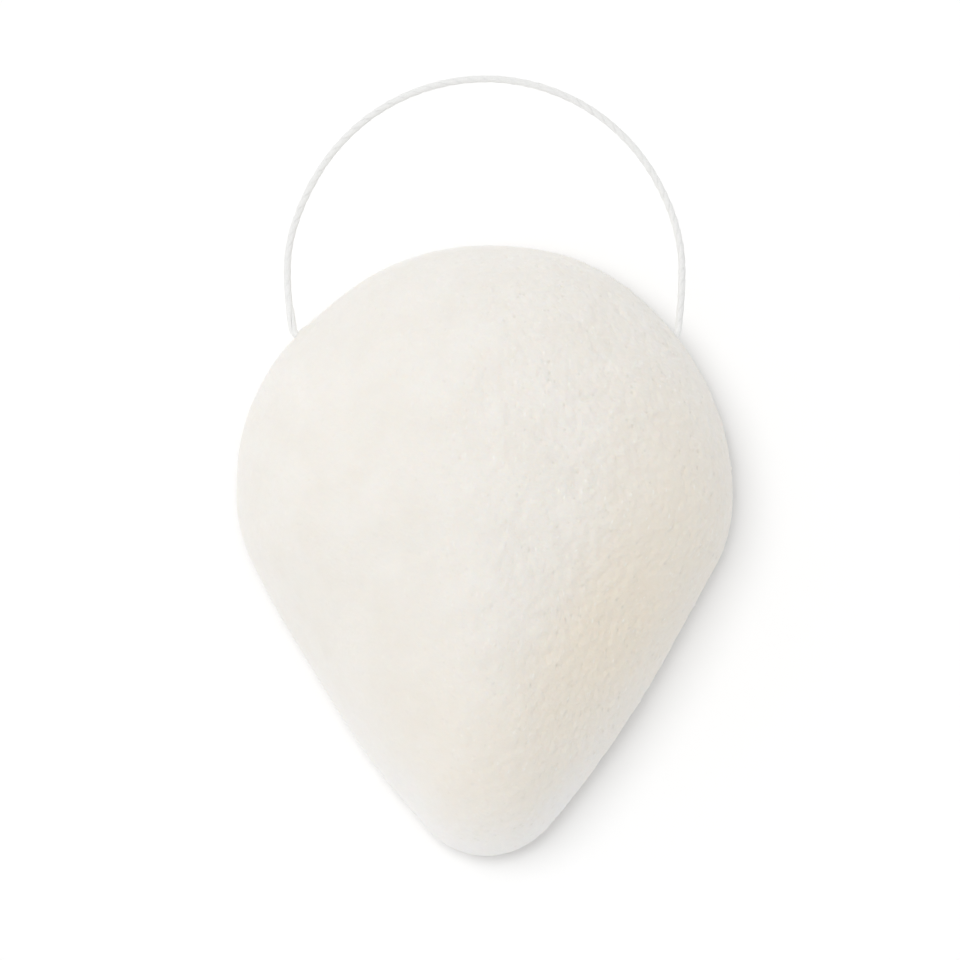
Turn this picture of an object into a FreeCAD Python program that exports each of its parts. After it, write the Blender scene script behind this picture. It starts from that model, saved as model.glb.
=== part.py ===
import FreeCAD, Part
import math
import os
import Sketcher

# Driving dimensions in millimetres, under the names that they have in the sheet.
sizes = {
    "drop_length": 80.0,  # the sponge, from the top of its head to its tip
    "head_radius": 32.5,  # half the sponge's greatest width
    "shoulder_radius": 20.5,  # where the head turns into the flanks
    "flank_radius": 168.0,  # the nearly straight sides below the shoulders
    "tip_radius": 10.6,
    "waist_height": 5.0,  # from the flat back up to the widest level
    "dome_height": 29.0,  # from the widest level up to the crown
    "back_inset": 2.6,  # from the widest outline in to the edge of the back
    "cord_diameter": 0.9,
    "cord_clearance": 0.05,  # round the cord in its channel, on the radius
    "channel_depth": 11.1,  # from the top of the head down to the needle channel
    "channel_height": 9.0,  # from the flat back up to the needle channel
    "mouth_radius": 0.9,  # where the channel opens at each side
    "mouth_flare": 0.7,  # the length over which it opens
    "knot_diameter": 2.4,
    "knot_length": 3.2,
    "knot_clearance": 0.2,  # round the knot in its pocket
    "cord_join": 23.3,  # from the middle of the sponge to each end of the loop
}

# Angles in degrees at which the sponge is cut into sections. Those under the waist turn down
# from it to the back, and those over it climb to the crown.
back_angle = 70
under_angles = (70, 56, 38, 19)
over_angles = (0, 7, 14, 28, 42, 55, 66, 75, 82, 87)

# Numbers of the arcs of a section, in order round the outline from the tip.
tip_right, flank_right, shoulder_right, crown_right = range(4)
crown_left, shoulder_left, flank_left, tip_left = range(4, 8)

# What a sketch calls its axes, its origin and the points of an arc or line.
across, upright = range(-1, -3, -1)
origin = across
start, end, centre = range(1, 4)

channel_y = sizes["drop_length"] / 2 - sizes["channel_depth"]
channel_z = sizes["channel_height"]

# The loop's route from the left mouth round to the right one, lying down to the surface.
loop_route = [
    (-sizes["cord_join"], channel_y, channel_z),
    (-25.3, channel_y, channel_z),
    (-25.6, 30.8, 8.3),
    (-25.8, 34.2, 6.6),
    (-25.8, 39.8, 3.6),
    (-23.9, 45.9, 1.5),
    (-20.2, 52.3, 0.7),
    (-14.6, 57.6, 0.5),
    (-7.6, 61.0, 0.5),
    (0.1, 62.2, 0.5),
    (7.8, 61.0, 0.5),
    (14.8, 57.6, 0.5),
    (20.4, 52.3, 0.7),
    (24.1, 45.9, 1.5),
    (25.85, 39.8, 3.6),
    (25.85, 34.2, 6.6),
    (25.6, 30.8, 8.3),
    (25.3, channel_y, channel_z),
    (sizes["cord_join"], channel_y, channel_z),
]
arc_share = 0.45  # of the shorter run, which each arc takes up


def make_sheet(doc):
    sheet = doc.addObject("Spreadsheet::Sheet", "Sizes")
    for row, (name, value) in enumerate(sizes.items(), start=1):
        sheet.set(f"A{row}", name)
        sheet.set(f"B{row}", str(value))
        sheet.setAlias(f"B{row}", name)
    doc.recompute()
    return sheet


def new_sketch(body, name, y_expression, z_expression):
    # A level sketch whose origin stands over the body's long axis.
    level = [plane for plane in body.Origin.OriginFeatures if plane.Role == "XY_Plane"][0]
    sketch = body.newObject("Sketcher::SketchObject", name)
    sketch.AttachmentSupport = (level, [""])
    sketch.MapMode = "FlatFace"
    sketch.setExpression("AttachmentOffset.Base.y", y_expression)
    sketch.setExpression("AttachmentOffset.Base.z", z_expression)
    return sketch


def bind(sketch, name, expression, *constraint):
    index = sketch.addConstraint(Sketcher.Constraint(*constraint))
    sketch.renameConstraint(index, name)
    sketch.setExpression(f"Constraints.{name}", expression)


def section_levels():
    # Name, size against the widest section, and the expressions for that size and the height.
    back = math.radians(back_angle)
    for angle in under_angles:
        drawn_in = (1 - math.cos(math.radians(angle))) / (1 - math.cos(back))
        scale = 1 - sizes["back_inset"] / sizes["head_radius"] * drawn_in
        scale_expression = (
            f"(1 - Sizes.back_inset / Sizes.head_radius * (1 - cos({angle} deg))"
            f" / (1 - cos({back_angle} deg)))"
        )
        height = f"Sizes.waist_height * (1 - sin({angle} deg) / sin({back_angle} deg))"
        yield f"under_section_{angle}", scale, scale_expression, height
    for angle in over_angles:
        scale = math.cos(math.radians(angle))
        height = f"Sizes.waist_height + Sizes.dome_height * sin({angle} deg)"
        yield f"over_section_{angle}", scale, f"cos({angle} deg)", height


def section_arcs(scale):
    # Centre, radius and the two end angles of each arc, about the middle of the head.
    head = sizes["head_radius"] * scale
    shoulder = sizes["shoulder_radius"] * scale
    flank = sizes["flank_radius"] * scale
    tip = sizes["tip_radius"] * scale
    shoulder_x = head - shoulder
    tip_y = tip + head - sizes["drop_length"] * scale
    # The flank touches the shoulder's circle and the tip's from outside both.
    gap = math.hypot(shoulder_x, tip_y)
    to_shoulder = flank - shoulder
    to_tip = flank - tip
    along = (to_shoulder**2 - to_tip**2 + gap**2) / (2 * gap)
    aside = math.sqrt(to_shoulder**2 - along**2)
    flank_x = shoulder_x - along * shoulder_x / gap + aside * tip_y / gap
    flank_y = along * tip_y / gap + aside * shoulder_x / gap
    flank_top = math.atan2(-flank_y, shoulder_x - flank_x)
    flank_foot = math.atan2(tip_y - flank_y, -flank_x)
    half_turn = math.pi
    quarter = math.pi / 2
    return [
        ((0, tip_y), tip, -quarter, flank_foot),
        ((flank_x, flank_y), flank, flank_foot, flank_top),
        ((shoulder_x, 0), shoulder, flank_top, 0),
        ((0, 0), head, 0, quarter),
        ((0, 0), head, quarter, half_turn),
        ((-shoulder_x, 0), shoulder, half_turn, half_turn - flank_top),
        ((-flank_x, flank_y), flank, half_turn - flank_top, half_turn - flank_foot),
        ((0, tip_y), tip, half_turn - flank_foot, half_turn + quarter),
    ]


def drop_section(body, name, scale, scale_expression, height):
    head_y = "Sizes.drop_length / 2 - Sizes.head_radius"
    sketch = new_sketch(body, name, head_y, height)
    for (x, y), radius, first, last in section_arcs(scale):
        circle = Part.Circle(FreeCAD.Vector(x, y, 0), FreeCAD.Vector(0, 0, 1), radius)
        sketch.addGeometry(Part.ArcOfCircle(circle, first, last))
    constraints = [
        ("Tangent", tip_right, end, flank_right, start),
        ("Tangent", flank_right, end, shoulder_right, start),
        ("Coincident", shoulder_right, end, crown_right, start),
        ("Coincident", crown_right, end, crown_left, start),
        ("Coincident", crown_left, end, shoulder_left, start),
        ("Tangent", shoulder_left, end, flank_left, start),
        ("Tangent", flank_left, end, tip_left, start),
        ("Coincident", tip_left, end, tip_right, start),
        ("Coincident", crown_right, centre, origin, start),
        ("Coincident", crown_left, centre, origin, start),
        ("PointOnObject", shoulder_right, centre, across),
        ("PointOnObject", shoulder_left, centre, across),
        ("PointOnObject", tip_right, centre, upright),
        ("PointOnObject", tip_left, centre, upright),
        ("PointOnObject", crown_right, start, across),
        ("PointOnObject", crown_right, end, upright),
        ("PointOnObject", crown_left, end, across),
        ("PointOnObject", tip_right, start, upright),
        ("Equal", shoulder_right, shoulder_left),
        ("Equal", flank_right, flank_left),
        ("Equal", tip_right, tip_left),
    ]
    for constraint in constraints:
        sketch.addConstraint(Sketcher.Constraint(*constraint))
    radii = (
        ("head_radius", crown_right),
        ("shoulder_radius", shoulder_right),
        ("flank_radius", flank_right),
        ("tip_radius", tip_right),
    )
    for size, arc in radii:
        bind(sketch, size, f"Sizes.{size} * {scale_expression}", "Radius", arc, sizes[size] * scale)
    reach = (sizes["drop_length"] - sizes["head_radius"]) * scale
    reach_expression = f"(Sizes.drop_length - Sizes.head_radius) * {scale_expression}"
    bind(sketch, "tip_reach", reach_expression, "DistanceY", tip_right, start, origin, start, reach)
    return sketch


def half_mouth_gap():
    # Half the distance between the channel's two mouths, on the outline at its height.
    above_middle = sizes["head_radius"] - sizes["channel_depth"]
    climb = (sizes["channel_height"] - sizes["waist_height"]) / sizes["dome_height"]
    return math.sqrt(sizes["head_radius"] ** 2 * (1 - climb**2) - above_middle**2)


def channel_corners():
    # Corners of the right half of the channel's profile: numbers, then their expressions.
    mouth_x = half_mouth_gap()
    channel_radius = sizes["cord_diameter"] / 2 + sizes["cord_clearance"]
    pocket_x = sizes["knot_length"] / 2 + sizes["knot_clearance"]
    pocket_radius = sizes["knot_diameter"] / 2 + sizes["knot_clearance"]
    climb = "((Sizes.channel_height - Sizes.waist_height) / Sizes.dome_height)"
    mouth_expression = (
        f"sqrt(Sizes.head_radius^2 * (1 - {climb}^2)"
        " - (Sizes.head_radius - Sizes.channel_depth)^2)"
    )
    channel_expression = "Sizes.cord_diameter / 2 + Sizes.cord_clearance"
    pocket_x_expression = "Sizes.knot_length / 2 + Sizes.knot_clearance"
    pocket_radius_expression = "Sizes.knot_diameter / 2 + Sizes.knot_clearance"
    flare_expression = f"{mouth_expression} - Sizes.mouth_flare"
    return [
        (pocket_x, pocket_radius, pocket_x_expression, pocket_radius_expression),
        (pocket_x, channel_radius, pocket_x_expression, channel_expression),
        (mouth_x - sizes["mouth_flare"], channel_radius, flare_expression, channel_expression),
        (mouth_x, sizes["mouth_radius"], mouth_expression, "Sizes.mouth_radius"),
        (sizes["head_radius"], sizes["mouth_radius"], "Sizes.head_radius", "Sizes.mouth_radius"),
        (sizes["head_radius"], 0, "Sizes.head_radius", None),
    ]


def channel_profile(body):
    channel_y_expression = "Sizes.drop_length / 2 - Sizes.channel_depth"
    sketch = new_sketch(body, "channel_profile", channel_y_expression, "Sizes.channel_height")
    right = channel_corners()
    left = [(-x, y, x_name, y_name) for x, y, x_name, y_name in reversed(right)]
    corners = right + left
    places = [FreeCAD.Vector(x, y, 0) for x, y, _, _ in corners]
    for place, following in zip(places, places[1:] + places[:1]):
        sketch.addGeometry(Part.LineSegment(place, following))
    for line in range(len(corners)):
        following = (line + 1) % len(corners)
        sketch.addConstraint(Sketcher.Constraint("Coincident", line, end, following, start))
    for line, (x, y, x_name, y_name) in enumerate(corners):
        from_origin = (origin, start, line, start)
        to_origin = (line, start, origin, start)
        sides = from_origin if x > 0 else to_origin
        bind(sketch, f"corner_{line}_x", x_name, "DistanceX", *sides, abs(x))
        if y_name is None:
            sketch.addConstraint(Sketcher.Constraint("PointOnObject", line, start, across))
        else:
            bind(sketch, f"corner_{line}_y", y_name, "DistanceY", *from_origin, y)
    return sketch


def make_sponge(doc):
    body = doc.addObject("PartDesign::Body", "sponge_body")
    body.Label = "sponge_body"
    sections = [drop_section(body, *level) for level in section_levels()]
    form = body.newObject("PartDesign::AdditiveLoft", "drop_form")
    form.Profile = sections[0]
    form.Sections = sections[1:]
    doc.recompute()
    whole = form.Shape.Volume
    profile = channel_profile(body)
    channel = body.newObject("PartDesign::Groove", "needle_channel")
    channel.Profile = profile
    channel.ReferenceAxis = (profile, ["H_Axis"])
    channel.Angle = 360
    doc.recompute()
    print(f"sponge {whole / 1000:.3f} cm3, less {whole - body.Shape.Volume:.2f} mm3 for the channel")
    if body.Shape.Volume >= whole:
        raise ValueError("the needle channel cut nothing")
    return body


def threaded_run(doc, name, x_expression):
    run = doc.addObject("Part::Cylinder", name)
    run.Label = name
    run.Placement = FreeCAD.Placement(FreeCAD.Vector(), FreeCAD.Rotation(FreeCAD.Vector(0, 1, 0), 90))
    run.setExpression("Radius", "Sizes.cord_diameter / 2")
    run.setExpression("Height", "Sizes.cord_join - Sizes.knot_length / 2")
    run.setExpression("Placement.Base.x", x_expression)
    run.setExpression("Placement.Base.y", "Sizes.drop_length / 2 - Sizes.channel_depth")
    run.setExpression("Placement.Base.z", "Sizes.channel_height")
    return run


def make_knot(doc):
    # A barrel as thick as the drawn knot, with an end the size of the cord at each side.
    body = doc.addObject("PartDesign::Body", "cord_knot")
    body.Label = "cord_knot"
    channel_y_expression = "Sizes.drop_length / 2 - Sizes.channel_depth"
    sketch = new_sketch(body, "knot_profile", channel_y_expression, "Sizes.channel_height")
    half = sizes["knot_length"] / 2
    cord = sizes["cord_diameter"] / 2
    knot = sizes["knot_diameter"] / 2
    corners = [
        FreeCAD.Vector(half, cord, 0),
        FreeCAD.Vector(-half, cord, 0),
        FreeCAD.Vector(-half, 0, 0),
        FreeCAD.Vector(half, 0, 0),
    ]
    bulge, left_side, base, right_side = range(4)
    sketch.addGeometry(Part.Arc(corners[0], FreeCAD.Vector(0, knot, 0), corners[1]))
    for first, last in zip(corners[1:], corners[2:] + corners[:1]):
        sketch.addGeometry(Part.LineSegment(first, last))
    for line in range(4):
        sketch.addConstraint(Sketcher.Constraint("Coincident", line, end, (line + 1) % 4, start))
    sketch.addConstraint(Sketcher.Constraint("PointOnObject", base, start, across))
    sketch.addConstraint(Sketcher.Constraint("PointOnObject", bulge, centre, upright))
    sketch.addConstraint(Sketcher.Constraint("Vertical", left_side))
    sketch.addConstraint(Sketcher.Constraint("Vertical", right_side))
    sketch.addConstraint(Sketcher.Constraint("Horizontal", base))
    rise = "(Sizes.knot_diameter - Sizes.cord_diameter) / 2"
    radius_expression = f"((Sizes.knot_length / 2)^2 + ({rise})^2) / (2 * {rise})"
    radius = (half**2 + (knot - cord) ** 2) / (2 * (knot - cord))
    bind(sketch, "half_length", "Sizes.knot_length / 2", "DistanceX", origin, start, base, end, half)
    bind(sketch, "end_radius", "Sizes.cord_diameter / 2", "DistanceY", base, end, bulge, start, cord)
    bind(sketch, "bulge_radius", radius_expression, "Radius", bulge, radius)
    barrel = body.newObject("PartDesign::Revolution", "knot_barrel")
    barrel.Profile = sketch
    barrel.ReferenceAxis = (sketch, ["H_Axis"])
    barrel.Angle = 360
    return body


def loop_path():
    # Straight runs joined by arcs that take up most of the shorter run at each point.
    points = [FreeCAD.Vector(*point) for point in loop_route]
    edges = []
    radii = []
    at = points[0]
    for before, corner, after in zip(points, points[1:], points[2:]):
        back = (before - corner).normalize()
        onward = (after - corner).normalize()
        turn = math.pi - back.getAngle(onward)
        cut = arc_share * min(before.distanceToPoint(corner), corner.distanceToPoint(after))
        radius = cut / math.tan(turn / 2)
        inward = (back + onward).normalize()
        middle = corner + inward * (radius / math.cos(turn / 2) - radius)
        enters = corner + back * cut
        leaves = corner + onward * cut
        edges.append(Part.LineSegment(at, enters).toShape())
        edges.append(Part.Arc(enters, middle, leaves).toShape())
        radii.append(radius)
        at = leaves
    edges.append(Part.LineSegment(at, points[-1]).toShape())
    return Part.Wire(edges), radii


def make_loop(doc):
    path, radii = loop_path()
    print("loop radii", " ".join(f"{radius:.2f}" for radius in radii))
    route = doc.addObject("Part::Feature", "loop_path")
    route.Shape = path
    section = doc.addObject("Part::Circle", "loop_section")
    section.setExpression("Radius", "Sizes.cord_diameter / 2")
    heading = FreeCAD.Rotation(FreeCAD.Vector(0, 0, 1), FreeCAD.Vector(-1, 0, 0))
    section.Placement = FreeCAD.Placement(FreeCAD.Vector(*loop_route[0]), heading)
    loop = doc.addObject("Part::Sweep", "hanging_loop")
    loop.Label = "hanging_loop"
    loop.Sections = [section]
    loop.Spine = (route, [])
    loop.Solid = True
    doc.recompute()
    expected = math.pi * (sizes["cord_diameter"] / 2) ** 2 * path.Length
    print(f"loop {path.Length:.2f} mm long, {loop.Shape.Volume:.3f} mm3 of {expected:.3f} expected")
    return loop


def check_and_write(doc, parts):
    doc.recompute()
    for item in doc.Objects:
        if "Invalid" in item.State or "Error" in item.State:
            raise ValueError(f"{item.Label} did not build: {item.State}")
    os.makedirs("parts", exist_ok=True)
    for part in parts:
        if part.Shape.isNull() or not part.Shape.isValid():
            raise ValueError(f"{part.Label} has no valid shape")
        part.Shape.exportStep(f"parts/{part.Label}.step")
        box = part.Shape.BoundBox
        print(f"{part.Label}: {len(part.Shape.Solids)} solid, {part.Shape.Volume:.3f} mm3, {box}")


def main():
    doc = FreeCAD.newDocument("konjac_sponge")
    make_sheet(doc)
    parts = [
        make_sponge(doc),
        make_loop(doc),
        threaded_run(doc, "threaded_run_left", "-Sizes.cord_join"),
        threaded_run(doc, "threaded_run_right", "Sizes.knot_length / 2"),
        make_knot(doc),
    ]
    check_and_write(doc, parts)


main()
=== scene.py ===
import bpy
import numpy as np
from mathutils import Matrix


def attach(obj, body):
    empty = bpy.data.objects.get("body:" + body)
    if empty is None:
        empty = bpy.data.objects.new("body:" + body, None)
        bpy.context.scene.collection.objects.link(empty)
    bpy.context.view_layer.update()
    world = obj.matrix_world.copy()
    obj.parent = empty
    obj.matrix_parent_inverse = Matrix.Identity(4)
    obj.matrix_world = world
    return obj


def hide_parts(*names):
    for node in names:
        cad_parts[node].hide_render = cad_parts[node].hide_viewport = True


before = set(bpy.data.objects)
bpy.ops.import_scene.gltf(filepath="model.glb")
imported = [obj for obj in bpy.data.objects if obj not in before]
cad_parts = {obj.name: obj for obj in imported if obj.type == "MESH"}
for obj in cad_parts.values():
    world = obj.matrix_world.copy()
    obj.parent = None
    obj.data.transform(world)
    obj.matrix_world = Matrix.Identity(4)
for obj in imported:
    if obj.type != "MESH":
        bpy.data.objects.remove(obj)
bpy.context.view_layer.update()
mm = 0.001  # every setting below is in millimetres, and the meshes are in metres
print("frame loaded with", len(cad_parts), "nodes")


# Straight down on the sponge, far enough off that its loop and its waist keep one scale.
camera = {
    "over": (-0.59, 9.36),
    "level": 5.0,  # the height at which the width below is measured
    "distance": 6000.0,
    "width": 125.65,
    "sensor": 36.0,
}


def makeCamera():
    data = bpy.data.cameras.new("camera")
    data.sensor_width = camera["sensor"]
    data.lens = camera["sensor"] * camera["distance"] / camera["width"]
    seat = bpy.data.objects.new("camera", data)
    seat.location = np.array([*camera["over"], camera["level"] + camera["distance"]]) * mm
    bpy.context.scene.collection.objects.link(seat)
    bpy.context.scene.camera = seat


makeCamera()
print("camera placed")


# A repeatable number from 0 to 1 for each whole-numbered cell: its three numbers times large
# odd factors, added up, then mixed bit by bit.
def cellNumber(cell, seed):
    factors = np.array([73856093, 19349663, 83492791])
    mixed = ((cell * factors).sum(-1) + seed * 2654435).astype(np.uint32)
    mixed = (mixed ^ (mixed >> np.uint32(15))) * np.uint32(739982445)
    mixed = (mixed ^ (mixed >> np.uint32(12))) * np.uint32(695872825)
    return (mixed ^ (mixed >> np.uint32(15))) / float(2**32)


# Smooth noise from -1 to 1: the numbers of the eight cell corners round a point, each
# weighted by how near it is, with a weight that starts and ends level.
def smoothNoise(points, size, seed):
    place = points / size
    corner = np.floor(place).astype(np.int64)
    part = place - corner
    ease = part**3 * (part * (part * 6 - 15) + 10)
    total = np.zeros(points.shape[:-1])
    for step in np.ndindex(2, 2, 2):
        weight = np.prod(np.where(step, ease, 1 - ease), axis=-1)
        total += weight * cellNumber(corner + step, seed)
    return total * 2 - 1


# One spot in each cell, set at random: the distance from each point to the nearest spot, and
# that spot's own number from 0 to 1.
def nearestSpot(points, spacing, seed):
    place = points / spacing
    cell = np.floor(place).astype(np.int64)
    gap = np.full(points.shape[:-1], np.inf)
    luck = np.zeros(points.shape[:-1])
    for step in np.ndindex(3, 3, 3):
        near = cell + step - 1
        spot = near + np.stack([cellNumber(near, seed + axis) for axis in range(3)], -1)
        reach = np.linalg.norm(place - spot, axis=-1)
        closer = reach < gap
        gap = np.where(closer, reach, gap)
        luck = np.where(closer, cellNumber(near, seed + 3), luck)
    return gap * spacing, luck


# Each vector divided by its own length.
def unit(vectors):
    return vectors / np.linalg.norm(vectors, axis=-1, keepdims=True)


# Puts points, quads and a UV place for each corner into one smooth mesh object.
def makePiece(name, points, quads, corners, material):
    mesh = bpy.data.meshes.new(name)
    mesh.vertices.add(len(points))
    mesh.vertices.foreach_set("co", (points * mm).astype(np.float32).ravel())
    mesh.loops.add(quads.size)
    mesh.loops.foreach_set("vertex_index", quads.astype(np.int32).ravel())
    mesh.polygons.add(len(quads))
    mesh.polygons.foreach_set("loop_start", np.arange(0, quads.size, 4, dtype=np.int32))
    mesh.update(calc_edges=True)
    mesh.polygons.foreach_set("use_smooth", np.ones(len(quads), dtype=bool))
    layer = mesh.uv_layers.new(name="OFBake")
    layer.uv.foreach_set("vector", corners.astype(np.float32).ravel())
    mesh.materials.append(material)
    piece = bpy.data.objects.new(name, mesh)
    bpy.context.scene.collection.objects.link(piece)
    return piece


# A node tree with the surface shader that every finish starts from.
def newFinish(name, settings):
    material = bpy.data.materials.new(name)
    material.use_nodes = True
    nodes = material.node_tree.nodes
    shader = nodes["Principled BSDF"]
    for socket, value in settings.items():
        shader.inputs[socket].default_value = value
    return material, nodes, material.node_tree.links, shader


# A shader node with some of its sockets set.
def addNode(nodes, kind, **inputs):
    node = nodes.new(kind)
    for name, value in inputs.items():
        node.inputs[name].default_value = value
    return node


# Two-ply cotton string. The route is the loop's own, from the left mouth to the right one.
string = {
    "route": [
        (-23.3, 28.2, 9.0), (-24.0, 27.95, 9.0), (-24.98, 28.5, 8.95), (-25.25, 30.2, 8.5),
        (-25.8, 34.2, 6.6), (-25.8, 39.8, 3.6), (-23.9, 45.9, 1.5), (-20.2, 52.3, 0.7),
        (-14.6, 57.6, 0.55), (-7.6, 61.0, 0.55), (0.1, 62.2, 0.55), (7.8, 61.0, 0.55),
        (14.8, 57.6, 0.55), (20.4, 52.3, 0.7), (24.1, 45.9, 1.5), (25.85, 39.8, 3.6),
        (25.85, 34.2, 6.6), (25.45, 30.2, 8.5), (25.3, 28.4, 8.95), (24.3, 27.9, 9.0),
        (23.4, 28.2, 9.0),
    ],
    # Inside the foam each threaded run leaves the channel's line a little before the mouth.
    "leftRun": [
        (-1.6, 28.9, 9.0), (-11.0, 28.9, 9.0), (-20.4, 28.9, 9.0), (-22.4, 28.52, 9.0),
        (-23.3, 28.2, 9.0),
    ],
    "rightRun": [
        (23.4, 28.2, 9.0), (22.5, 28.5, 9.0), (20.4, 28.9, 9.0), (11.0, 28.9, 9.0),
        (1.6, 28.9, 9.0),
    ],
    "mouth": (-24.05, 28.9, 9.0),
    "diameter": 0.9,
    "length": 102.0,
    "plyRadius": 0.42,
    "plyOffset": 0.05,  # from the string's middle to the middle of a ply
    "plyGap": 0.01,  # from the string's middle to a ply's flat side
    "lay": 3.7,  # one full turn of the two plies
    "slackAt": 3.4,  # beyond the left mouth the plies lie side by side and turn less
    "slackOver": 1.9,
    "slack": 0.9,
    "slackOffset": 0.13,  # of the plies, where they lie most open
    "sides": 20,
    "fibreRidges": 7,
    "fibreHeight": 0.010,
    "fibreLay": 2.1,
    "fluff": {"height": 0.012, "size": 0.55, "seed": 11},
    "fineness": 52,  # spline steps to a control point
    "dark": (0.825, 0.825, 0.815, 1),
    "pale": (0.88, 0.88, 0.87, 1),
}

# A barrel knot: one strand wound round the straight string.
knot = {
    "turns": 3.1,
    "radius": 0.74,
    "halfLength": 1.14,
    "steps": 260,
    "coreSteps": 40,
    "end": 1.6,  # where the threaded runs meet the knot
    "layFrom": -40.0,  # where the turning of its plies is counted from
}

uvMargin = 0.02
uvPatch = np.array([[0, 0], [1, 0], [1, 1], [0, 1]]) * 0.008  # for the plies' ends and the floor


# The points of a smooth spline along a route: it has the route's points as its controls.
def splineLine(route, fineness):
    curve = bpy.data.curves.new("route", "CURVE")
    curve.dimensions = "3D"
    curve.resolution_u = fineness
    spline = curve.splines.new("NURBS")
    spline.points.add(len(route) - 1)
    spline.points.foreach_set("co", np.c_[np.array(route), np.ones(len(route))].ravel())
    spline.order_u = 3
    spline.use_endpoint_u = True
    holder = bpy.data.objects.new("route", curve)
    mesh = bpy.data.meshes.new_from_object(holder)
    line = np.empty(len(mesh.vertices) * 3)
    mesh.vertices.foreach_get("co", line)
    bpy.data.meshes.remove(mesh)
    bpy.data.objects.remove(holder)
    bpy.data.curves.remove(curve)
    return line.reshape(-1, 3)


# How far along a line each of its points is: the sum of the steps before it.
def lengthAlong(line):
    return np.r_[0, np.cumsum(np.linalg.norm(np.diff(line, axis=0), axis=1))]


# Two plies wound round a line. Each ply's middle circles the line once in a lay, its section
# is a circle cut flat where it meets the other ply, and low fibre ridges wind along it. In
# the slack stretch the plies turn less, by a smooth step, and open by a bell.
def twoPly(name, line, begin, material):
    sides, rings = string["sides"], len(line)
    travel = lengthAlong(line) + begin
    ahead = unit(np.gradient(line, axis=0))
    across = unit(np.cross([0, 0, 1], ahead))
    above = np.cross(ahead, across)
    around = np.arange(sides) * 2 * np.pi / sides
    parts, faces, places = [], [], []
    past = (travel - string["slackAt"]) / string["slackOver"]
    wound = past - string["slack"] * np.tanh(past)
    opened = (string["slackOffset"] - string["plyOffset"]) * np.exp(-(past**2))
    offset = string["plyOffset"] + opened[:, None]
    for ply in range(2):
        turn = 2 * np.pi * wound * string["slackOver"] / string["lay"] + np.pi * ply
        outward = across * np.cos(turn)[:, None] + above * np.sin(turn)[:, None]
        sideways = -across * np.sin(turn)[:, None] + above * np.cos(turn)[:, None]
        wind = 2 * np.pi * travel[:, None] / string["fibreLay"]
        ridge = np.cos(string["fibreRidges"] * around - wind)
        reach = string["plyRadius"] + string["fibreHeight"] * ridge
        fluff = string["fluff"]
        spots = np.broadcast_arrays(travel[:, None], np.cos(around), np.sin(around))
        noise = smoothNoise(np.stack(spots, -1), fluff["size"], fluff["seed"] + ply)
        reach = reach + fluff["height"] * noise
        out = np.maximum(reach * np.cos(around), string["plyGap"] - offset) + offset
        side = reach * np.sin(around)
        ring = out[..., None] * outward[:, None] + side[..., None] * sideways[:, None]
        ring += line[:, None]
        ends = (line + offset * outward)[[0, -1]]
        start = sum(len(part) for part in parts)
        parts.append(np.r_[ring.reshape(-1, 3), ends])
        row, column = np.meshgrid(np.arange(rings - 1), np.arange(sides), indexing="ij")
        nextColumn = (column + 1) % sides
        quads = np.stack([row * sides + column, row * sides + nextColumn,
                          (row + 1) * sides + nextColumn, (row + 1) * sides + column], -1)
        faces.append(quads.reshape(-1, 4) + start)
        # Each ply takes half of the UV map, inside a margin.
        u = np.stack([column, column + 1, column + 1, column], -1) / sides
        v = np.stack([row, row, row + 1, row + 1], -1) / (rings - 1)
        u = uvMargin + (0.5 - 2 * uvMargin) * u + 0.5 * ply
        v = uvMargin + (1 - 2 * uvMargin) * v
        places.append(np.stack([u, v], -1).reshape(-1, 2))
        # Each end is closed with quads that fold two sides at a time to the ply's middle.
        pair = np.arange(0, sides, 2)
        last = (rings - 1) * sides
        middle = np.full(len(pair), rings * sides)
        low = np.stack([middle, (pair + 2) % sides, pair + 1, pair], -1)
        high = np.stack([middle + 1, last + pair, last + pair + 1, last + (pair + 2) % sides], -1)
        faces += [low + start, high + start]
        places += [np.tile(uvPatch + uvMargin / 4, (len(low), 1))] * 2
    joined = (np.concatenate(rows) for rows in (parts, faces, places))
    return makePiece(name, *joined, material)


# Pale cotton: fine noise shades its colour and stands up as fluff.
def cottonFinish():
    material, nodes, links, shader = newFinish("cotton_string", {
        "Roughness": 0.9, "Sheen Weight": 0.25, "Sheen Roughness": 0.5,
        "Subsurface Weight": 0.2, "Subsurface Radius": (0.6, 0.6, 0.6), "Subsurface Scale": 0.0005,
    })
    where = nodes.new("ShaderNodeTexCoord")
    fluff = addNode(nodes, "ShaderNodeTexNoise", Scale=5200.0, Detail=3.0, Roughness=0.6)
    shade = nodes.new("ShaderNodeValToRGB")
    shade.color_ramp.elements[0].position, shade.color_ramp.elements[1].position = 0.3, 0.7
    shade.color_ramp.elements[0].color = string["dark"]
    shade.color_ramp.elements[1].color = string["pale"]
    relief = addNode(nodes, "ShaderNodeBump", Strength=0.5, Distance=0.00004)
    links.new(where.outputs["Object"], fluff.inputs["Vector"])
    links.new(fluff.outputs["Fac"], shade.inputs["Fac"])
    links.new(shade.outputs["Color"], shader.inputs["Base Color"])
    links.new(fluff.outputs["Fac"], relief.inputs["Height"])
    links.new(relief.outputs["Normal"], shader.inputs["Normal"])
    return material


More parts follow.
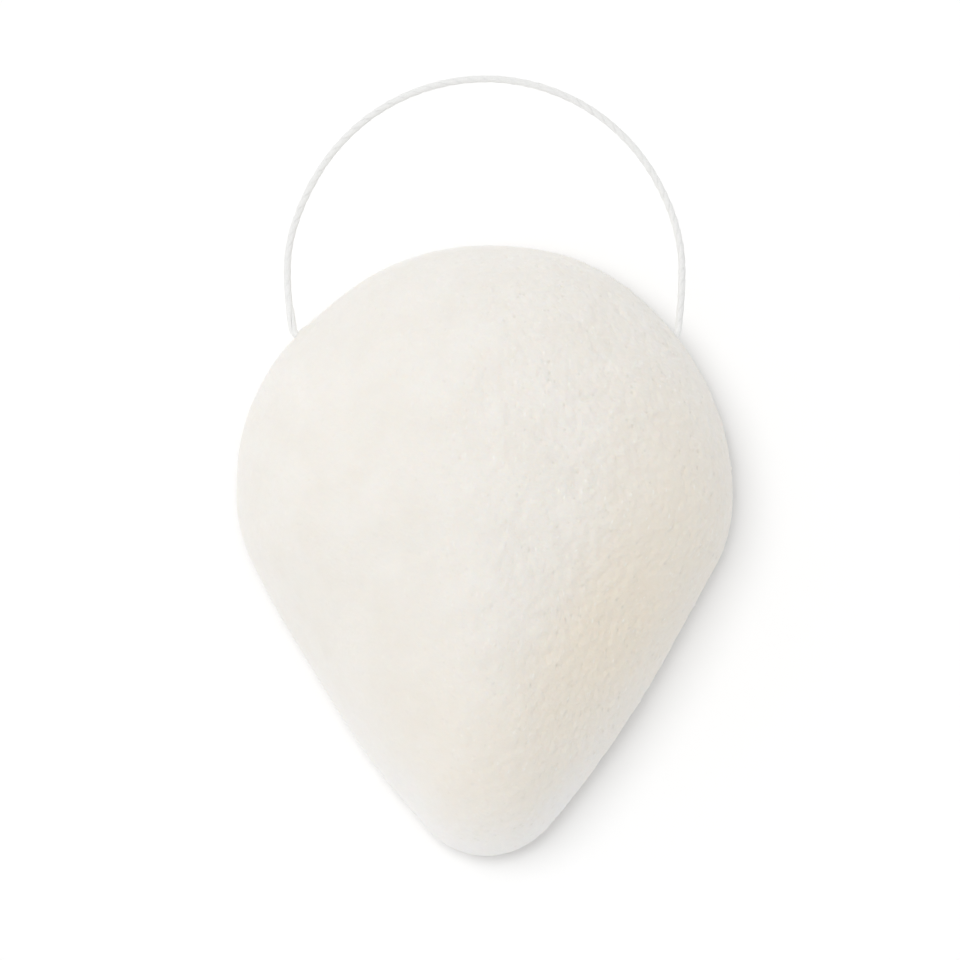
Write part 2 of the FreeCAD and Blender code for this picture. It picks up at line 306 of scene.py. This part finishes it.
# Lays the loop, the two hidden runs and the knot. The knot's coil is a helix: it circles the
# channel at an even rate while it moves along it.
def makeString():
    cotton = cottonFinish()
    loopLine = splineLine(string["route"], string["fineness"])
    leftRun = splineLine(string["leftRun"], string["fineness"])
    rightRun = splineLine(string["rightRun"], string["fineness"])
    leftLength, loopLength = lengthAlong(leftRun)[-1], lengthAlong(loopLine)[-1]
    loop = twoPly("hanging_string", loopLine, 0.0, cotton)
    runs = [
        twoPly("threaded_string_left", leftRun, -leftLength, cotton),
        twoPly("threaded_string_right", rightRun, loopLength, cotton),
    ]
    turn = np.linspace(0, 2 * np.pi * knot["turns"], knot["steps"])
    channelY, channelZ = string["mouth"][1:]
    coil = np.stack([
        np.linspace(-knot["halfLength"], knot["halfLength"], knot["steps"]),
        channelY + knot["radius"] * np.cos(turn),
        channelZ + knot["radius"] * np.sin(turn),
    ], -1)
    coreEnds = [(x, channelY, channelZ) for x in (-knot["end"], knot["end"])]
    core = np.linspace(*coreEnds, knot["coreSteps"])
    knotPieces = [
        twoPly("string_knot", coil, knot["layFrom"], cotton),
        twoPly("knot_core", core, knot["layFrom"], cotton),
    ]
    for piece in [loop, *runs, *knotPieces]:
        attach(piece, "string")
    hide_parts("hanging_loop")
    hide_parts("threaded_run_left")
    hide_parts("threaded_run_right")
    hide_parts("cord_knot")
    print("string laid,", round(float(loopLength), 2), "mm in its loop")


makeString()


# The foam drop: level sections of one outline, drawn in towards the middle of the head.
sponge = {
    "headY": 7.5,  # the middle of the head, which every section closes on
    "headRadius": 32.5,
    "shoulderRadius": 20.5,
    "flankRadius": 168.0,
    "tipRadius": 10.6,
    "tipDrop": 36.9,  # from the middle of the head down to the middle of the tip
    "waist": 5.0,
    "dome": 29.0,
    "backInset": 2.6,
    "backAngle": 70.0,
    "backRound": 0.7,  # how far the edge of the back is softened
    "wallShare": 0.42,  # of the under side's rows, for the wall between waist and back
    "profileSteps": 2000,  # along the back, and again along the wall
    "grid": 512,
    "lipReach": (32.3, 32.55),  # the foam stands out this far round the string, left and right
    "lipRadius": 1.9,
    "lipMiddle": (28.4, 9.0),
    "lipFrom": 15.0,  # the lips are farther out to the side than this
    "smoothSide": 0.25,  # share of the fine relief that the smoother left side has
    "sideWidth": 30.0,  # over which it grows from left to right
    "smoothRim": 0.3,  # share that is left at the waist and under it
    "rimHeight": 12.0,  # over which it grows from the waist up
    "fineSwell": 6.0,  # swells smaller than this are fine relief
    "dark": (0.855, 0.822, 0.765, 1),
    "pale": (0.885, 0.858, 0.812, 1),
    # The pits' colour is painted shade, darker down in the hollows.
    "pit": (0.77, 0.735, 0.675, 1),
    # The specks' colour is partly a paler fleck of the foam and partly a painted highlight on their
    # raised tops.
    "speck": (0.955, 0.937, 0.895, 1),
}

# Where the real drop is a little out of true: direction from the middle of the head, half the
# spread of the lean, both in degrees, and how far the outline stands out there.
leans = [(66, 14, 0.42), (130, 14, -0.62), (168, 9, 0.18), (-137, 16, -0.42), (-101, 7, -0.45),
         (-70, 8, 0.12), (-34, 13, -0.30)]

# Unevenness: size of a swell, its height, and a seed.
swells = [(11.0, 0.20, 21), (4.5, 0.10, 22), (1.7, 0.13, 23), (0.8, 0.125, 24), (0.42, 0.045, 25)]

# Two kinds of pit and one of speck, which is a pit of less than no depth: spacing, share of the
# cells that have one, least and greatest radius, depth, how much longer they are towards the
# tip than across, and a seed.
pits = [
    {"spacing": 1.0, "share": 0.45, "radius": (0.16, 0.30), "depth": 0.16, "long": 1.3, "seed": 41},
    {"spacing": 0.7, "share": 0.45, "radius": (0.12, 0.20), "depth": 0.09, "long": 1.6, "seed": 51},
    {"spacing": 0.85, "share": 0.5, "radius": (0.14, 0.25), "depth": -0.13, "long": 2, "seed": 61},
]
clusters = {"size": 5.0, "least": 0.35, "seed": 81}  # where pits and specks are many or few

# Stretches of painted light and shade: painted warm shade along the right flank, inside the edge,
# on the side turned away from the key, and a painted pale rim of bounce light at the edge of the
# tip. Where each is on the way out from the middle of the head, how wide, its direction and half
# spread in degrees, and its colour.
paintedShading = {
    # Painted warm shade on the flank turned away from the key.
    "painted_warm_shade": {
        "out": 0.74, "wide": 0.26, "towards": -38.0, "spread": 58.0,
        "colour": (0.86, 0.79, 0.68, 1),
    },
    # A painted pale rim of bounce light from the floor at the edge of the tip.
    "pale": {
        "out": 1.0, "wide": 0.08, "towards": -92.0, "spread": 30.0,
        "colour": (0.915, 0.902, 0.882, 1),
    },
}
paintedShadingDrift = {"size": 11.0, "share": 0.2, "seed": 71}  # how unevenly they lie
paintedShadingFrom = 3.0  # they stay above this height


# The outline's distance from the middle of the head along each direction. It is a chain of
# arcs, each tangent to the next: crown, shoulder, flank and tip, alike on both sides. A ray
# meets an arc at its middle's share along the ray plus the root of what is left.
def outlineReach(direction):
    shoulderMiddle = np.array([sponge["headRadius"] - sponge["shoulderRadius"], 0.0])
    tipMiddle = np.array([0.0, -sponge["tipDrop"]])
    toShoulder = sponge["flankRadius"] - sponge["shoulderRadius"]
    toTip = sponge["flankRadius"] - sponge["tipRadius"]
    span = np.linalg.norm(tipMiddle - shoulderMiddle)
    along = (span**2 + toShoulder**2 - toTip**2) / (2 * span)
    axis = (tipMiddle - shoulderMiddle) / span
    aside = np.sqrt(toShoulder**2 - along**2)
    flankMiddle = shoulderMiddle + along * axis + aside * np.array([axis[1], -axis[0]])
    ray = np.stack([np.abs(direction[..., 0]), direction[..., 1]], -1)

    def meet(middle, radius):
        share = ray @ middle
        return share + np.sqrt(np.maximum(share**2 - middle @ middle + radius**2, 0))

    def steepness(middle, radius):
        joint = middle + radius * unit(middle - flankMiddle)
        return joint[1] / np.hypot(*joint)

    shoulder = shoulderMiddle, sponge["shoulderRadius"]
    flank = flankMiddle, sponge["flankRadius"]
    tip = tipMiddle, sponge["tipRadius"]
    reach = np.where(ray[..., 1] > 0, sponge["headRadius"], meet(*shoulder))
    reach = np.where(ray[..., 1] < steepness(*shoulder), meet(*flank), reach)
    reach = np.where(ray[..., 1] < steepness(*tip), meet(*tip), reach)
    for towards, spread, tall in leans:
        reach = reach + tall * np.exp(-((turnFrom(direction, towards) / spread) ** 2))
    return reach


# Degrees from a compass direction to each of the directions, the short way round.
def turnFrom(direction, towards):
    angle = np.degrees(np.arctan2(direction[..., 1], direction[..., 0]))
    return (angle - towards + 180) % 360 - 180


# How far each point is in a stretch of painted light and shade: a bell across it times a bell along
# it.
def paintedShadingPlace(points, tone):
    away = points[:, :2] - (0, sponge["headY"])
    direction = unit(away + 1e-9)
    out = np.linalg.norm(away, axis=-1) / outlineReach(direction)
    across = np.exp(-((out - tone["out"]) / tone["wide"]) ** 2)
    along = np.exp(-(turnFrom(direction, tone["towards"]) / tone["spread"]) ** 2)
    drift = paintedShadingDrift["share"] * smoothNoise(points, paintedShadingDrift["size"], paintedShadingDrift["seed"])
    return across * along * (1 + drift) * (points[:, 2] > paintedShadingFrom)


# Size and height of the sections from the crown out to the waist: a quarter of an ellipse.
def domeProfile(steps):
    climb = np.linspace(np.pi / 2, 0, steps)
    return np.cos(climb), sponge["waist"] + sponge["dome"] * np.sin(climb)


# From the middle of the back out to its edge, then up the rounded wall to the waist. The
# edge is softened by a running mean along the line.
def underProfile(steps):
    fine = sponge["profileSteps"]
    fall = np.radians(sponge["backAngle"]) * np.linspace(1, 0, fine)
    inset = sponge["backInset"] / sponge["headRadius"]
    wallSize = 1 - inset * (1 - np.cos(fall)) / (1 - np.cos(fall[0]))
    wallHeight = sponge["waist"] * (1 - np.sin(fall) / np.sin(fall[0]))
    size = np.r_[np.linspace(0, wallSize[0], fine)[:-1], wallSize]
    height = np.r_[np.zeros(fine - 1), wallHeight]
    travel = lengthAlong(np.stack([size * sponge["headRadius"], height], -1))
    even = np.linspace(0, travel[-1], 2 * fine)
    width = int(sponge["backRound"] / travel[-1] * 2 * fine)
    window = np.hanning(2 * width + 3)[1:-1]
    window /= window.sum()

    def softened(values):
        spread = np.interp(even, travel, values)
        before = 2 * spread[0] - spread[width:0:-1]
        after = 2 * spread[-1] - spread[-2:-width - 2:-1]
        return np.convolve(np.r_[before, spread, after], window, "valid")

    size, height = softened(size), softened(height)
    size, height = size - size[0], np.maximum(height - height[0], 0)
    size, height = size / size[-1], height * sponge["waist"] / height[-1]
    edge = travel[fine - 1] / travel[-1]
    row = np.linspace(0, 1, steps)
    share = np.interp(row, [0, 1 - sponge["wallShare"], 1], [0, edge, 1])
    along = np.linspace(0, 1, 2 * fine)
    return np.interp(share, along, size), np.interp(share, along, height)


# A square grid laid over the drop: rings of the square are sections, and the way round a
# ring is the way round the outline. Gives each point, the outward direction there, and its
# place on the square. up is 1 for the dome and -1 for the under side.
def dropSurface(profile, up):
    even = np.linspace(-1, 1, sponge["grid"])
    across, along = np.meshgrid(even, even, indexing="ij")
    ring = np.maximum(np.abs(across), np.abs(along))
    safe = np.where(ring > 0, ring, 1)
    steeper = np.abs(along) > np.abs(across)
    angle = np.where(steeper,
                     np.pi / 2 * np.sign(along) - np.pi / 4 * across / safe * np.sign(along),
                     np.pi / 2 * (1 - np.sign(across)) + np.pi / 4 * along / safe * np.sign(across))
    direction = np.stack([np.cos(angle), np.sin(angle)], -1)
    step = 1e-4  # of angle, to see how the outline changes
    reach = outlineReach(direction)
    onward = np.stack([np.cos(angle + step), np.sin(angle + step)], -1)
    change = (outlineReach(onward) - reach) / step
    rows = np.linspace(0, 1, 2 * sponge["profileSteps"] + 1)
    size, height = profile(len(rows))
    sizeHere, heightHere = np.interp(ring, rows, size), np.interp(ring, rows, height)
    points = np.concatenate([direction * (reach * sizeHere)[..., None], heightHere[..., None]], -1)
    points[..., 1] += sponge["headY"]
    rising, growing = (np.interp(ring, rows, np.gradient(v)) for v in (height, size))
    turned = np.stack([-direction[..., 1], direction[..., 0]], -1)
    flat = direction / reach[..., None] - turned * (change / reach**2)[..., None]
    facing = up * np.concatenate([-flat * rising[..., None], growing[..., None]], -1)
    return points, unit(facing), np.stack([across, along], -1) / 2 + 0.5


# Swells, pits and specks of the foam at a point, as a height along the surface's direction,
# and how far the point is in a pit, which sets its painted shade, and up a speck, which sets
# its pale fleck tone and painted highlight. The fine relief grows by a smooth step
# from left to right, and by another from the waist up.
def foamRelief(points):
    def smoothStep(value):
        value = np.clip(value, 0, 1)
        return value**2 * (3 - 2 * value)

    rightward = smoothStep(points[:, 0] / sponge["sideWidth"] + 0.5)
    upward = smoothStep((points[:, 2] - sponge["waist"]) / sponge["rimHeight"])
    side = sponge["smoothSide"] + (1 - sponge["smoothSide"]) * rightward
    rough = side * (sponge["smoothRim"] + (1 - sponge["smoothRim"]) * upward)
    height, pitShade, speckFleckAndHighlight = np.zeros((3, len(points)))
    for size, tall, seed in swells:
        share = rough if size < sponge["fineSwell"] else 1
        height += tall * smoothNoise(points, size, seed) * share
    many = smoothNoise(points, clusters["size"], clusters["seed"]) + 1
    many = clusters["least"] + (1 - clusters["least"]) * many
    for kind in pits:
        gap, luck = nearestSpot(points / (1, kind["long"], 1), kind["spacing"], kind["seed"])
        low, high = kind["radius"]
        share = kind["share"] * many
        radius = low + (high - low) * luck / share
        hollow = side * np.where(luck < share, np.maximum(1 - (gap / radius) ** 2, 0) ** 2, 0)
        height -= kind["depth"] * hollow
        # A pit's painted shade is as strong as its depth, against the first kind's depth.
        if kind["depth"] > 0:
            pitShade = np.maximum(pitShade, hollow * kind["depth"] / pits[0]["depth"])
        else:
            # A speck takes its pale fleck tone and painted highlight as far as it stands up.
            speckFleckAndHighlight = np.maximum(speckFleckAndHighlight, hollow)
    return height, pitShade, speckFleckAndHighlight


# Raises a small lip of foam round the two mouths of the needle channel: foam there is drawn
# out from the middle of the head to a set reach, by a round bell.
def drawMouths(points):
    off = np.linalg.norm(points[:, 1:] - sponge["lipMiddle"], axis=-1)
    bell = np.maximum(1 - (off / sponge["lipRadius"]) ** 2, 0) ** 2
    bell *= np.abs(points[:, 0]) > sponge["lipFrom"]
    away = points[:, :2] - (0, sponge["headY"])
    far = np.maximum(np.linalg.norm(away, axis=-1), 1)
    short = np.maximum(np.where(points[:, 0] < 0, *sponge["lipReach"]) - far, 0)
    points[:, :2] += away * (short * bell / far)[:, None]
    return points


# Pale foam: broad noise for its blotches, and a fine grain and small cells as bumps.
def foamFinish():
    material, nodes, links, shader = newFinish("konjac_foam", {
        "Roughness": 0.95, "Specular IOR Level": 0.25,
        "Sheen Weight": 0.3, "Sheen Roughness": 0.5,
        "Subsurface Weight": 0.35, "Subsurface Radius": (1.0, 0.8, 0.6), "Subsurface Scale": 0.0025,
    })
    where = nodes.new("ShaderNodeTexCoord")
    blotch = addNode(nodes, "ShaderNodeTexNoise", Scale=160.0, Detail=4.0, Roughness=0.55)
    tone = nodes.new("ShaderNodeValToRGB")
    tone.color_ramp.elements[0].position, tone.color_ramp.elements[1].position = 0.3, 0.7
    tone.color_ramp.elements[0].color = sponge["dark"]
    tone.color_ramp.elements[1].color = sponge["pale"]
    # Each attribute of the mesh lays its own colour over the ones before it: painted warm shade,
    # a painted pale rim of bounce light, painted shade in the pits, and pale flecks with a painted
    # highlight on the specks.
    colour = tone.outputs["Color"]
    laid = {name: stretch["colour"] for name, stretch in paintedShading.items()}
    laid |= {name: sponge[name] for name in ("pit", "speck")}
    for name, over in laid.items():
        amount = nodes.new("ShaderNodeAttribute")
        amount.attribute_name = name
        mixed = nodes.new("ShaderNodeMix")
        mixed.data_type = "RGBA"
        mixed.inputs["B"].default_value = over
        links.new(amount.outputs["Fac"], mixed.inputs["Factor"])
        links.new(colour, mixed.inputs["A"])
        colour = mixed.outputs["Result"]
    grain = addNode(nodes, "ShaderNodeTexNoise", Scale=2600.0, Detail=5.0, Roughness=0.65)
    cells = addNode(nodes, "ShaderNodeTexVoronoi", Scale=2300.0)
    relief = addNode(nodes, "ShaderNodeBump", Strength=0.35, Distance=0.00012)
    finer = addNode(nodes, "ShaderNodeBump", Strength=0.3, Distance=0.00012)
    matt = addNode(nodes, "ShaderNodeMapRange", **{"To Min": 0.86, "To Max": 1.0})
    links.new(where.outputs["Object"], blotch.inputs["Vector"])
    links.new(where.outputs["Object"], grain.inputs["Vector"])
    links.new(where.outputs["Object"], cells.inputs["Vector"])
    links.new(blotch.outputs["Fac"], tone.inputs["Fac"])
    links.new(colour, shader.inputs["Base Color"])
    links.new(grain.outputs["Fac"], matt.inputs["Value"])
    links.new(matt.outputs["Result"], shader.inputs["Roughness"])
    links.new(grain.outputs["Fac"], relief.inputs["Height"])
    links.new(cells.outputs["Distance"], finer.inputs["Height"])
    links.new(relief.outputs["Normal"], finer.inputs["Normal"])
    links.new(finer.outputs["Normal"], shader.inputs["Normal"])
    return material


# Two grids, the dome and the under side, joined at the waist. Each point moves along its
# outward direction by the foam's relief, and then the mouths are drawn out.
def makeSponge():
    count = sponge["grid"]
    top, topFacing, topPlace = dropSurface(domeProfile, 1)
    under, underFacing, underPlace = dropSurface(underProfile, -1)
    inner = np.zeros((count, count), bool)
    inner[1:-1, 1:-1] = True  # the two grids share the ring at the waist
    topNumber = np.arange(count * count).reshape(count, count)
    underNumber = topNumber.copy()
    underNumber[inner] = count * count + np.arange(inner.sum())
    points = np.r_[top.reshape(-1, 3), under[inner]]
    facing = np.r_[topFacing.reshape(-1, 3), underFacing[inner]]
    height, pitShade, speckFleckAndHighlight = foamRelief(points)
    points = points + facing * height[:, None]
    points[:, 2] = np.maximum(points[:, 2], 0)  # the back lies flat
    points = drawMouths(points)
    print("foam drawn with", len(points), "points")

    def fourCorners(grid):
        return np.stack([grid[:-1, :-1], grid[1:, :-1], grid[1:, 1:], grid[:-1, 1:]], 2)

    def gridQuads(number):
        return fourCorners(number).reshape(-1, 4)

    def gridPlaces(place, half):  # the dome has one half of the UV map, the under side the other
        place = place * (0.5 - uvMargin, 1 - uvMargin) + uvMargin / 2 + (half, 0)
        return fourCorners(place).reshape(-1, 4, 2)

    quads = np.r_[gridQuads(topNumber), gridQuads(underNumber)[:, ::-1]]
    corners = np.r_[gridPlaces(topPlace, 0.0), gridPlaces(underPlace, 0.5)[:, ::-1]]
    drop = makePiece("foam_drop", points, quads, corners.reshape(-1, 2), foamFinish())
    # The painted warm shade and pale rim, the pits' painted shade and the specks' pale tone and
    # painted highlight are stored on the points.
    amounts = {name: paintedShadingPlace(points, stretch) for name, stretch in paintedShading.items()}
    amounts |= {"pit": pitShade, "speck": speckFleckAndHighlight}
    for name, values in amounts.items():
        layer = drop.data.attributes.new(name, "FLOAT", "POINT")
        layer.data.foreach_set("value", values.astype(np.float32))
    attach(drop, "sponge")
    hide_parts("sponge_body")
    print("sponge made with", len(quads), "quads")


makeSponge()


# Plain soft light: a pale surround, brighter on the side that the key comes from, one soft
# key from the upper left, and a steeper lamp that lights the floor alone, for its white.
light = {
    "towards": (-0.87, 0.49),  # where the key stands, seen from above
    "keyHeight": 71.0,  # degrees over the floor
    "keyStrength": 0.92,
    "keySpread": 27.0,  # degrees across
    "floorTowards": (-0.39, 0.92),
    "floorHeight": 84.5,
    "floorStrength": 0.69,
    "floorSpread": 17.0,
    "surround": 0.715,
    "surroundLean": 0.05,
    "floorColour": (0.835, 0.835, 0.835, 1),
    "floorEdge": 3000.0,
    "floorLevel": -0.05,  # just under the foam and the string
}


# 1 for a ray that shows the surround itself, straight, in a reflection or through a surface.
def seenRay(nodes, links):
    path = nodes.new("ShaderNodeLightPath")
    either = nodes.new("ShaderNodeMath")
    either.operation = "MAXIMUM"
    both = nodes.new("ShaderNodeMath")
    both.operation = "MAXIMUM"
    links.new(path.outputs["Is Camera Ray"], either.inputs[0])
    links.new(path.outputs["Is Glossy Ray"], either.inputs[1])
    links.new(either.outputs[0], both.inputs[0])
    links.new(path.outputs["Is Transmission Ray"], both.inputs[1])
    return both.outputs[0]


# A sun that stands at the given height in degrees, on the side that the light comes from.
def makeSun(name, towards, height, strength, spread):
    lamp = bpy.data.lights.new(name, "SUN")
    lamp.energy = strength
    lamp.angle = np.radians(spread)
    sun = bpy.data.objects.new(name, lamp)
    sun.rotation_euler = (0, np.pi / 2 - np.radians(height), np.arctan2(towards[1], towards[0]))
    bpy.context.scene.collection.objects.link(sun)
    return sun


# The two suns, and a surround whose strength is a level plus a lean towards the key. Where it
# is seen it is plain white.
def makeLight(floor):
    scene = bpy.context.scene
    scene.view_settings.view_transform = "Standard"
    key = makeSun("key", light["towards"], light["keyHeight"],
                  light["keyStrength"], light["keySpread"])
    wash = makeSun("floor_wash", light["floorTowards"], light["floorHeight"],
                   light["floorStrength"], light["floorSpread"])
    washed, shading = (bpy.data.collections.new(name) for name in ("washed", "shading"))
    washed.objects.link(floor)
    shading.objects.link(bpy.data.objects["foam_drop"])
    wash.light_linking.receiver_collection = washed
    for sun in (key, wash):  # the thin string throws no shadow that shows
        sun.light_linking.blocker_collection = shading

    world = bpy.data.worlds.new("surround")
    world.use_nodes = True
    scene.world = world
    nodes, links = world.node_tree.nodes, world.node_tree.links
    lit = nodes["Background"]
    seen = addNode(nodes, "ShaderNodeBackground", Color=(1, 1, 1, 1), Strength=1.0)
    where = nodes.new("ShaderNodeTexCoord")
    lean = nodes.new("ShaderNodeVectorMath")
    lean.operation = "DOT_PRODUCT"
    lean.inputs[1].default_value = (*light["towards"], 0)
    level = nodes.new("ShaderNodeMath")
    level.operation = "MULTIPLY_ADD"
    level.inputs[1].default_value = light["surroundLean"]
    level.inputs[2].default_value = light["surround"]
    either = nodes.new("ShaderNodeMixShader")
    lit.inputs["Color"].default_value = (1, 1, 1, 1)
    links.new(where.outputs["Generated"], lean.inputs[0])
    links.new(lean.outputs["Value"], level.inputs[0])
    links.new(level.outputs[0], lit.inputs["Strength"])
    links.new(seenRay(nodes, links), either.inputs["Fac"])
    links.new(lit.outputs[0], either.inputs[1])
    links.new(seen.outputs[0], either.inputs[2])
    links.new(either.outputs[0], nodes["World Output"].inputs["Surface"])


# One large square, painted matt.
def makeFloor():
    material = bpy.data.materials.new("floor")
    material.use_nodes = True
    nodes, links = material.node_tree.nodes, material.node_tree.links
    nodes.remove(nodes["Principled BSDF"])
    paint = addNode(nodes, "ShaderNodeBsdfDiffuse", Color=light["floorColour"])
    links.new(paint.outputs[0], nodes["Material Output"].inputs["Surface"])
    corners = np.full((4, 3), light["floorLevel"])
    corners[:, :2] = np.array([(-1, -1), (1, -1), (1, 1), (-1, 1)]) * light["floorEdge"]
    floor = makePiece("floor", corners, np.array([[0, 1, 2, 3]]), uvPatch, material)
    return floor


makeLight(makeFloor())
print("light and floor set")
